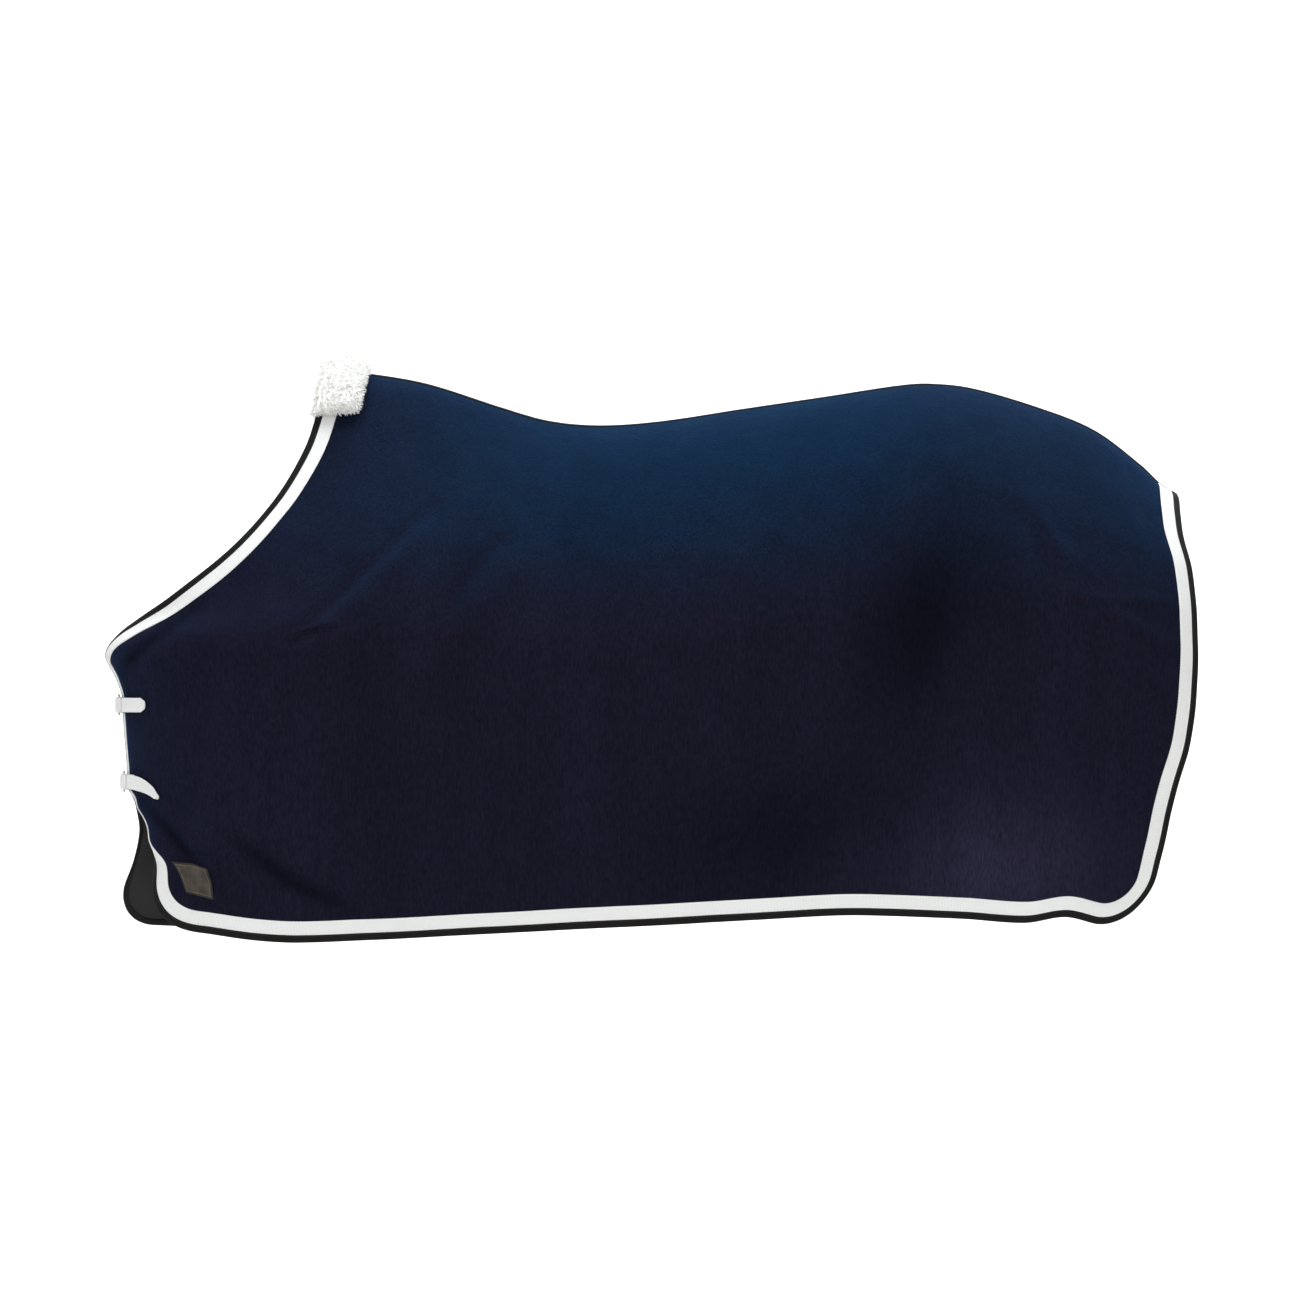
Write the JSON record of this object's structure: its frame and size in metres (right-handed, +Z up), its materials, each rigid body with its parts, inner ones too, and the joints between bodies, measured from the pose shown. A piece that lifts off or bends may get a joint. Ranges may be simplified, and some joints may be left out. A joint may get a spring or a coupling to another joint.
{
  "type": "turnout rug",
  "caption": "Shaped horse rug of plain fleece on a standing form, with bound and webbed edges, a pile wither pad, a label patch and buckled chest straps.",
  "frame": {"origin": "underside of the spine tape at the dip of the back, where the rug rests on the horse", "axes": "-X towards the horse's head, -Y its near (left) side, +Z up"},
  "size_m": [1.9066, 0.6632, 1.0272],
  "materials": {
    "fleece": "matte",
    "webbing": "matte",
    "binding": "matte",
    "pile": "matte",
    "leather": "matte",
    "steel": "satin"
  },
  "bodies": {
    "rug": {"near_panel": "fleece", "off_panel": "fleece", "near_edge_webbing": "webbing", "off_edge_webbing": "webbing", "neck_webbing": "webbing", "neck_binding": "binding", "near_edge_binding": "binding", "off_edge_binding": "binding", "spine_tape": "binding", "wither_pad": "pile", "label_patch": "leather", "upper_billet": "webbing", "upper_chape": "webbing", "upper_keeper": "webbing", "lower_billet": "webbing", "lower_chape": "webbing", "lower_keeper": "webbing"},
    "upper_buckle_frame": {"upper_buckle_frame": "steel"},
    "upper_roller": {"upper_roller": "steel"},
    "upper_prong": {"upper_prong": "steel"},
    "upper_billet_tail": {"upper_billet_tail": "webbing"},
    "lower_buckle_frame": {"lower_buckle_frame": "steel"},
    "lower_roller": {"lower_roller": "steel"},
    "lower_prong": {"lower_prong": "steel"},
    "lower_billet_tail": {"lower_billet_tail": "webbing"}
  },
  "joints": [
    {"name": "upper_buckle_lift", "type": "hinge", "parent": "rug", "child": "upper_buckle_frame", "pos_m": [-0.8415, -0.02799, -0.481], "axis": [0, 0, 1], "range_deg": [0, 6]},
    {"name": "upper_prong_lift", "type": "hinge", "parent": "upper_buckle_frame", "child": "upper_prong", "pos_m": [-0.8415, -0.02799, -0.481], "axis": [0, 0, 1], "range_deg": [0, 12]},
    {"name": "upper_roller_spin", "type": "hinge", "parent": "upper_buckle_frame", "child": "upper_roller", "pos_m": [-0.84187, -0.002, -0.481], "axis": [0, 0, 1], "continuous": true},
    {"name": "upper_tail_lift", "type": "hinge", "parent": "rug", "child": "upper_billet_tail", "pos_m": [-0.83168, -0.0758, -0.481], "axis": [0, 0, -1], "range_deg": [0, 60]},
    {"name": "lower_buckle_lift", "type": "hinge", "parent": "rug", "child": "lower_buckle_frame", "pos_m": [-0.83265, -0.02799, -0.615], "axis": [0, 0, 1], "range_deg": [0, 6]},
    {"name": "lower_prong_lift", "type": "hinge", "parent": "lower_buckle_frame", "child": "lower_prong", "pos_m": [-0.83265, -0.02799, -0.615], "axis": [0, 0, 1], "range_deg": [0, 12]},
    {"name": "lower_roller_spin", "type": "hinge", "parent": "lower_buckle_frame", "child": "lower_roller", "pos_m": [-0.83302, -0.002, -0.615], "axis": [0, 0, 1], "continuous": true},
    {"name": "lower_tail_lift", "type": "hinge", "parent": "rug", "child": "lower_billet_tail", "pos_m": [-0.82283, -0.0758, -0.615], "axis": [0, 0, -1], "range_deg": [0, 60]}
  ]
}
